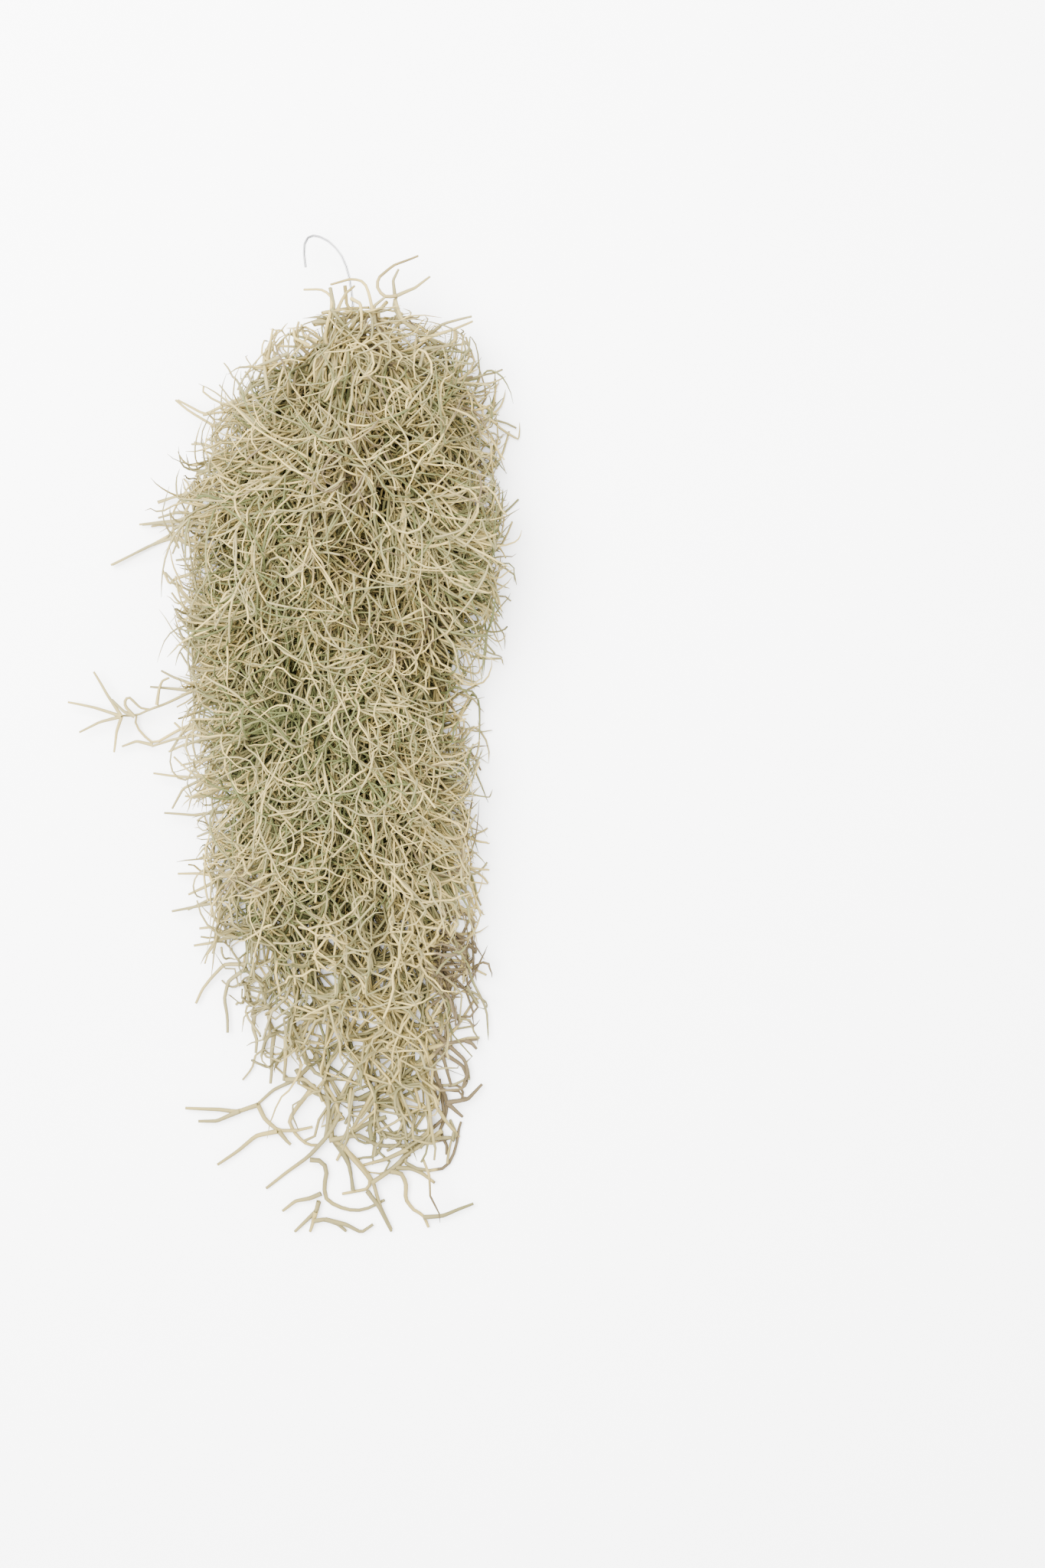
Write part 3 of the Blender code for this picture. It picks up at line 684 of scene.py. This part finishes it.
# %% Lines of the fringe
SPRIGS |= {
    "fringe_left": ("under_tress_1", 0.022, (
        ((-73, 642), (-88, 637), (-109, 628), (-130, 639)), ((-73, 633), (-91, 625), (-104, 619)),
        ((-85, 605), (-101, 600), (-106, 605), (-118, 608)), ((-85, 595), (-104, 581), (-117, 572)),
        ((-99, 567), (-119, 568), (-133, 568), (-146, 563)),
        ((-100, 546), (-119, 549), (-139, 549), (-158, 547)), ((-125, 549), (-134, 544), (-139, 538)),
        ((-105, 531), (-120, 531), (-132, 538), (-154, 531), (-182, 517)),
        ((-107, 524), (-123, 522), (-132, 521)), ((-112, 478), (-126, 492), (-134, 503), (-141, 512)),
        ((-112, 483), (-124, 478), (-133, 475)), ((-112, 549), (-119, 538), (-117, 528), (-109, 510)),
        ((-99, 379), (-120, 369), (-133, 366)), ((-100, 361), (-123, 357), (-141, 358), (-154, 360)),
        ((-110, 359), (-131, 349), (-139, 334)), ((-98, 332), (-124, 328), (-146, 330)),
        ((-90, 324), (-108, 318), (-120, 313)), ((-112, 400), (-130, 392), (-137, 399)),
        ((-112, 391), (-138, 386), (-154, 381)), ((-110, 387), (-130, 382), (-141, 377)))),
    "fringe_crown": ("front_tress_2", 0.058, (
        ((-64, 661), (-60, 675), (-56, 694)), ((-32, 677), (-41, 685), (-37, 699)),
        ((-23, 681), (-32, 688), (-42, 691)), ((-45, 676), (-59, 670), (-72, 666)),
        ((-14, 723), (-11, 710), (-13, 699), (-20, 685)), ((-5, 727), (-4, 713), (5, 703), (16, 694)),
        ((-27, 698), (-16, 699), (-2, 699)), ((-20, 708), (-5, 706), (10, 706)))),
    "fringe_right": ("front_tress_4", 0.056, (
        ((17, 706), (19, 696), (26, 685)), ((51, 685), (75, 694), (89, 701)),
        ((33, 715), (38, 699), (54, 689), (75, 682), (89, 675)),
        ((51, 666), (54, 679), (68, 682), (86, 685)), ((54, 668), (68, 657), (89, 661)),
        ((26, 715), (19, 708), (21, 696), (37, 685)))),
}
SPRIG_POINTS = 14
print("sprigs:", len(SPRIGS))

# %% [markdown]
# The points hold where the photo's sizes were measured, 55 mm over the surface. A line
# that lies lower is further from the camera, so it is spread from the middle of the view
# to look the same.

# %% Sprigs as lines
MEASURED_HEIGHT = 0.055
CAMERA_DISTANCE = 1.68
VIEW_MIDDLE = np.array([0.126, -0.030])
FINE_POINTS = 40
SPRIG_SAG = 0.1
SPRIG_FLOOR = 0.0022
STRAIGHT_NUDGE = (0.001, 0.001, 0)


def sprig_line(points, height):
    """A measured line as evenly spaced points that sag towards the surface."""
    spread = 1 + (MEASURED_HEIGHT - height) / CAMERA_DISTANCE
    flat = np.array([(x / 1000, reading / 1000 - MIDDLE_READING) for x, reading in points])
    flat = VIEW_MIDDLE + (flat - VIEW_MIDDLE) * spread
    points = np.column_stack([flat, np.full(len(flat), height)])
    if len(points) < 3:
        points = np.insert(points, 1, points.mean(0) + STRAIGHT_NUDGE, axis=0)
    distance = travelled(points[None])[0]
    fine = np.linspace(0, distance[-1], FINE_POINTS)
    line = smooth(points_at(fine, distance, points)[None], 3)[0]
    line[:, 2] *= 1 + 0.25 * np.sin(fine * 60 + points[0, 0] * 400)
    line[:, 2] = np.maximum(line[:, 2] - SPRIG_SAG * fine, SPRIG_FLOOR)
    return line[np.linspace(0, FINE_POINTS - 1, SPRIG_POINTS).round().astype(int)]


sprigs = np.array([sprig_line(line, lift) for _, lift, lines in SPRIGS.values() for line in lines])
sprig_tress = np.array([TRESSES.index(tress) for tress, _, lines in SPRIGS.values() for _ in lines])
print("sprig lines:", len(sprigs))

# %% [markdown]
# ## Materials
# Living Spanish moss is covered in tiny silvery scales, so it looks grey-green and quite
# matte. Old leaves turn straw yellow, and those deep in the bunch are darkened by painted
# shade. The tint of each leaf comes from its own number, and large soft patches shift it.

# %% Colours of a leaf
LEAF_COLOURS = {
    "Fresh": (0.064, 0.069, 0.023, 1),
    "Silver": (0.164, 0.138, 0.061, 1),
    "Straw": (0.300, 0.232, 0.080, 1),
    "Withered": (0.085, 0.063, 0.032, 1),
    # Painted shade: leaves deep in the bunch are multiplied by this dull olive.
    "Painted Shade Colour": (0.36, 0.34, 0.22, 1),
}
TINT_BANDS = (("Silver", 0.05, 0.42), ("Straw", 0.50, 0.80), ("Withered", 0.90, 1.06))
PATCH_SIZE = 16.0
PATCH_SHIFT = 0.8
print("leaf colours:", list(LEAF_COLOURS))

# %% [markdown]
# The colour is a node group with named inputs, so that any other leaf material can use it
# with its own values. First comes its tint: the leaf's own number, shifted by noise.

# %% Tint from the mesh and the patches
def note_node(nodes, note):
    """A node that reads one of the numbers kept on the mesh."""
    reader = nodes.new("ShaderNodeAttribute")
    reader.attribute_name = note
    return reader


def shifted_tint(nodes, links, inside):
    """The leaf's own tint, moved up or down by large soft patches."""
    place = nodes.new("ShaderNodeTexCoord")
    patches = nodes.new("ShaderNodeTexNoise")
    patches.inputs["Detail"].default_value = 2.0
    links.new(place.outputs["Object"], patches.inputs["Vector"])
    links.new(inside.outputs["Patch Size"], patches.inputs["Scale"])
    shifted = nodes.new("ShaderNodeMath")
    shifted.operation = "MULTIPLY_ADD"
    links.new(patches.outputs["Fac"], shifted.inputs[0])
    shifted.inputs[1].default_value = PATCH_SHIFT
    shifted.inputs[2].default_value = -PATCH_SHIFT / 2
    total = nodes.new("ShaderNodeMath")
    total.operation = "ADD"
    links.new(shifted.outputs[0], total.inputs[0])
    links.new(note_node(nodes, "tint").outputs["Fac"], total.inputs[1])
    return total.outputs[0]


print("tint shifts by", PATCH_SHIFT / 2, "either way")

# %% [markdown]
# Then the tint picks the colour, band by band from fresh to withered, and painted shade
# multiplies what lies deep by a dull olive.

# %% Shared group: tint of a leaf
def leaf_tint_group():
    """The colour of a leaf from its tint, darkened by painted shade where it lies deep."""
    group = bpy.data.node_groups.new("leaf_tint", "ShaderNodeTree")
    face = group.interface
    for name, value in LEAF_COLOURS.items():
        face.new_socket(name, in_out="INPUT", socket_type="NodeSocketColor").default_value = value
    size = face.new_socket("Patch Size", in_out="INPUT", socket_type="NodeSocketFloat")
    size.default_value = PATCH_SIZE
    face.new_socket("Color", in_out="OUTPUT", socket_type="NodeSocketColor")
    nodes, links = group.nodes, group.links
    inside = nodes.new("NodeGroupInput")
    outside = nodes.new("NodeGroupOutput")
    total = shifted_tint(nodes, links, inside)
    colour = inside.outputs["Fresh"]
    for name, low, high in TINT_BANDS:
        mask = nodes.new("ShaderNodeMapRange")
        mask.inputs["From Min"].default_value = low
        mask.inputs["From Max"].default_value = high
        links.new(total, mask.inputs["Value"])
        mix = nodes.new("ShaderNodeMix")
        mix.data_type = "RGBA"
        links.new(mask.outputs["Result"], mix.inputs["Factor"])
        links.new(colour, mix.inputs["A"])
        links.new(inside.outputs[name], mix.inputs["B"])
        colour = mix.outputs["Result"]
    # Painted shade: the colour is multiplied by the shade colour as far as the shade note says.
    painted_shade_mix = nodes.new("ShaderNodeMix")
    painted_shade_mix.data_type = "RGBA"
    painted_shade_mix.blend_type = "MULTIPLY"
    links.new(note_node(nodes, "painted_shade").outputs["Fac"], painted_shade_mix.inputs["Factor"])
    links.new(colour, painted_shade_mix.inputs["A"])
    links.new(inside.outputs["Painted Shade Colour"], painted_shade_mix.inputs["B"])
    links.new(painted_shade_mix.outputs["Result"], outside.inputs["Color"])
    return group


leaf_tint = leaf_tint_group()
print("group:", leaf_tint.name)


# %% Material: moss leaf
def moss_material():
    """Matte leaf with a faint sheen, coloured by the group."""
    made = bpy.data.materials.new("moss_leaf")
    made.use_nodes = True
    nodes, links = made.node_tree.nodes, made.node_tree.links
    shader = nodes["Principled BSDF"]
    shader.inputs["Roughness"].default_value = 0.75
    shader.inputs["Specular IOR Level"].default_value = 0.15
    tint = nodes.new("ShaderNodeGroup")
    tint.node_tree = leaf_tint
    links.new(tint.outputs["Color"], shader.inputs["Base Color"])
    return made


moss_leaf = moss_material()
print("material:", moss_leaf.name)

# %% [markdown]
# ## Notes for the material
# Each tube's points get two numbers that the material reads: their tint, and a painted
# shade that grows with how deep they lie. The tint leans green in the middle of the left
# side, straw in the middle, pale at the crown and the left fringe, and brown at the lower
# right, where the oldest sprigs are.

# %% Tint and painted shade of each point
TINT_SPREAD = 0.5
BROWN_SHARE = 0.6
CORE_DEPTH = 0.045


def hill(value, middle, width):
    """Squared distance from the middle, in widths."""
    return ((value - middle) / width) ** 2


def tint_of(lines):
    """Around 0.5, lower for green and higher for straw, then brown."""
    x, reading = lines[..., 0], reading_of(lines)
    left = mound_at(reading)[0]
    green = np.exp(-hill(x, -0.05, 0.05) - hill(reading, 0.40, 0.10))
    straw = np.exp(-hill(x, 0.02, 0.05) - hill(reading, 0.52, 0.14))
    brown = np.clip((x - 0.050) / 0.012, 0, 1) * np.clip((0.27 - reading) / 0.05, 0, 1)
    pale = np.clip((reading - 0.66) / 0.04, 0, 1)
    fringe = np.clip((left + 0.005 - x) / 0.015, 0, 1)
    brown = brown * (rng.random((len(lines), 1)) < BROWN_SHARE)
    own = rng.uniform(-TINT_SPREAD, TINT_SPREAD, (len(lines), 1))
    own = own * (1 - 0.3 * pale) * (1 - 0.7 * fringe) * np.interp(reading, (0.1, 0.3), (0.5, 1))
    return 0.5 + own - 0.25 * green + 0.10 * straw + 0.8 * brown + 0.2 * pale + 0.1 * fringe


def painted_shade_of(lines):
    """Painted shade: 0 on the outside of the mound, 1 well inside it, more in its hollows, and the lowest
    tips made darker as well.
    """
    x, reading = lines[..., 0], reading_of(lines)
    left, right, top = mound_at(reading)
    side = (x - (left + right) / 2) / ((right - left) / 2)
    skin = top * np.sqrt(np.maximum(0, 1 - np.minimum(1, side ** 2)))
    # Painted shade: the hollows between the lumps are darkened as well.
    hollow_shade = 0.5 * np.maximum(0, -lumps(x, reading))
    # Painted shade grows with how far a point lies under the top of the mound.
    inside = (skin - lines[..., 2] - 0.010) / CORE_DEPTH + hollow_shade
    inside = np.clip(inside, 0, 1) * np.interp(reading, (0.14, 0.34), (0.1, 1.0))
    # The lowest tips get a darker colour too.
    return inside + np.interp(reading, (0.05, 0.20), (0.35, 0.0))


heart = np.array([[(0, 0.05, 0.04)]])
print("depth at the heart of the mound:", painted_shade_of(heart).item())

# %% [markdown]
# ## The tresses as meshes
# The strands, side stems and leaves of each tress become one mesh, which stands for that
# tress's solid. Stems are thicker than leaves and hardly taper. A leaf keeps its width
# for most of its length and then narrows to its tip. Where the bunch is thin, all are
# stouter, as the oldest growth is.

# %% How thick each kind is along its length
STRAND_RADIUS = 0.00122
SIDE_STEM_RADIUS = 0.00114
LEAF_RADII = (0.00078, 0.00104)
SPRIG_RADIUS = 0.00155
STOUTER_BELOW = ((0.10, 0.32), (1.40, 1.0))
STRAND_TAPER = np.linspace(1.0, 0.72, strands.shape[1])
SIDE_STEM_TAPER = np.linspace(1.0, 0.68, branches.shape[1])
LEAF_TAPER = np.array([1.0, 1.0, 0.97, 0.92, 0.84, 0.73, 0.55, 0.20])
SPRIG_TAPER = np.linspace(1.0, 0.50, SPRIG_POINTS) ** 0.8
leaf_bases = rng.uniform(*LEAF_RADII, len(leaves))
KINDS = (
    # lines, the tress of each, radius at the root, taper, sides
    (strands, strand_tress, STRAND_RADIUS, STRAND_TAPER, 4),
    (branches, branch_tress, SIDE_STEM_RADIUS, SIDE_STEM_TAPER, 4),
    (leaves, leaf_tress, leaf_bases, LEAF_TAPER, 4),
    (sprigs, sprig_tress, SPRIG_RADIUS, SPRIG_TAPER, 5),
)
print("kinds of tube:", len(KINDS))


# %% Build one piece a tress
def tress_mesh(name, number):
    """All tubes of one tress as one mesh."""
    tubes = Tubes()
    for lines, owners, base, taper, sides in KINDS:
        mine = owners == number
        if mine.any():
            bases = np.broadcast_to(base, len(lines))[mine]
            stout = np.interp(reading_of(lines[mine]), *STOUTER_BELOW)
            radii = bases[:, None] * taper[None] * stout
            # Each tube gets its tint and its painted shade.
            tubes.add(lines[mine], radii, tint_of(lines[mine]), painted_shade_of(lines[mine]), sides)
    return tubes.mesh(name)


total_faces = 0
for number, tress in enumerate(TRESSES):
    data = tress_mesh(tress + "_strands", number)
    data.materials.append(moss_leaf)
    piece = placed(tress + "_strands", data)
    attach(piece, "root")
    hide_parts(tress)
    total_faces += len(data.polygons)
    print(tress, "triangles", 2 * len(data.polygons))
print("triangles in all:", 2 * total_faces)

# %% [markdown]
# ## Wire hook
# The hook is plain galvanised wire, bent cold. It could be a new curve, but its solid
# already has the right shape. So a copy of that mesh is grown by 0.4 mm all round,
# because a thin dark line fades against bright ground, and gets a dull metal finish.

# %% Material: galvanised wire
WIRE_DARK = (0.012, 0.011, 0.012, 1)
WIRE_LIGHT = (0.036, 0.032, 0.034, 1)
MOTTLE_SIZE = 260


def wire_material():
    """Dull metal with a faint mottling."""
    made = bpy.data.materials.new("galvanised_wire")
    made.use_nodes = True
    nodes, links = made.node_tree.nodes, made.node_tree.links
    shader = nodes["Principled BSDF"]
    shader.inputs["Metallic"].default_value = 0.2
    shader.inputs["Roughness"].default_value = 0.6
    shader.inputs["Specular IOR Level"].default_value = 0.2
    mottle = nodes.new("ShaderNodeTexNoise")
    mottle.inputs["Scale"].default_value = MOTTLE_SIZE
    shades = nodes.new("ShaderNodeValToRGB")
    shades.color_ramp.elements[0].color = WIRE_DARK
    shades.color_ramp.elements[1].color = WIRE_LIGHT
    links.new(mottle.outputs["Fac"], shades.inputs["Fac"])
    links.new(shades.outputs["Color"], shader.inputs["Base Color"])
    return made


galvanised = wire_material()
print("material:", galvanised.name)

# %% Wire as seen
WIRE_GROWTH = 0.0004

wire_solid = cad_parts["wire_hook"]
seen_data = wire_solid.data.copy()
corners = np.empty(3 * len(seen_data.vertices))
normals = np.empty(3 * len(seen_data.vertices))
seen_data.vertices.foreach_get("co", corners)
seen_data.vertices.foreach_get("normal", normals)
unit_length = abs(wire_solid.matrix_world.to_scale()[0])
seen_data.vertices.foreach_set("co", corners + WIRE_GROWTH / unit_length * normals)
seen_data.materials.clear()
seen_data.materials.append(galvanised)
seen_wire = placed("wire_hook_seen", seen_data)
seen_wire.matrix_world = wire_solid.matrix_world.copy()
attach(seen_wire, "root")
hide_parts("wire_hook")
print("wire corners:", len(seen_data.vertices))

# %% [markdown]
# ## Floor and light
# The bunch is seen on even pale ground, in soft light from all round that is a little
# stronger from one side. A pale floor, a white world and one large lamp above give that.

# %% Pale floor
FLOOR_HALF = 6
FLOOR_WHITE = (0.9, 0.9, 0.9, 1)

floor_data = bpy.data.meshes.new("floor")
floor_corners = [(FLOOR_HALF * x, FLOOR_HALF * y, 0) for x, y in ((-1, -1), (1, -1), (1, 1), (-1, 1))]
floor_data.from_pydata(floor_corners, [], [(0, 1, 2, 3)])
floor = placed("floor", floor_data)
floor_paint = bpy.data.materials.new("floor_paint")
floor_paint.use_nodes = True
floor_shader = floor_paint.node_tree.nodes["Principled BSDF"]
floor_shader.inputs["Base Color"].default_value = FLOOR_WHITE
floor_shader.inputs["Roughness"].default_value = 0.9
floor_data.materials.append(floor_paint)
print("floor:", 2 * FLOOR_HALF, "m wide")

# %% Soft light
WORLD_STRENGTH = 4.2
LAMP_POWER = 320
LAMP_SIZE = 1.6
LAMP_PLACE = (-0.5, 0.6, 1.9)
LAMP_TILT = (math.radians(-18), math.radians(-15), 0)

world = bpy.data.worlds.new("studio")
world.use_nodes = True
sky = world.node_tree.nodes["Background"]
sky.inputs["Color"].default_value = (1, 1, 1, 1)
sky.inputs["Strength"].default_value = WORLD_STRENGTH
bpy.context.scene.world = world
lamp_data = bpy.data.lights.new("soft_box", "AREA")
lamp_data.energy = LAMP_POWER
lamp_data.size = LAMP_SIZE
lamp = placed("soft_box", lamp_data)
lamp.location = LAMP_PLACE
lamp.rotation_euler = LAMP_TILT
print("lamp at", tuple(lamp.location))
